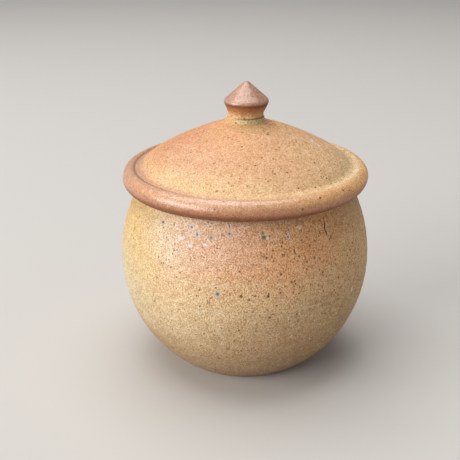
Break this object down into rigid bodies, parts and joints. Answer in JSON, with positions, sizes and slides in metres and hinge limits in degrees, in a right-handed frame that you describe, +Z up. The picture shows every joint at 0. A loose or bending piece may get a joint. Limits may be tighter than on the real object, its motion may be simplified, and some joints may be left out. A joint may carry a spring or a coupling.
{
  "type": "sugar pot",
  "caption": "Round-bellied stoneware sugar pot with a loose domed lid that has a rolled rim, a locating flange and a pointed knob.",
  "frame": {"origin": "middle of the flat foot, on the surface the pot stands on", "axes": "+Z up along the axis the pot was turned on, through the knob; -Y towards the front, +X to the right seen from the front"},
  "size_m": [0.1032, 0.1032, 0.1174],
  "materials": {
    "pot_stoneware": "wood-fired stoneware, satin to matt, warm buff with a pinkish brown flash and iron specks",
    "lid_stoneware": "wood-fired stoneware, orange buff dome with a satin red-brown rolled rim and knob"
  },
  "bodies": {
    "root": {"pot": "pot_stoneware", "lid": "lid_stoneware"}
  },
  "joints": []
}
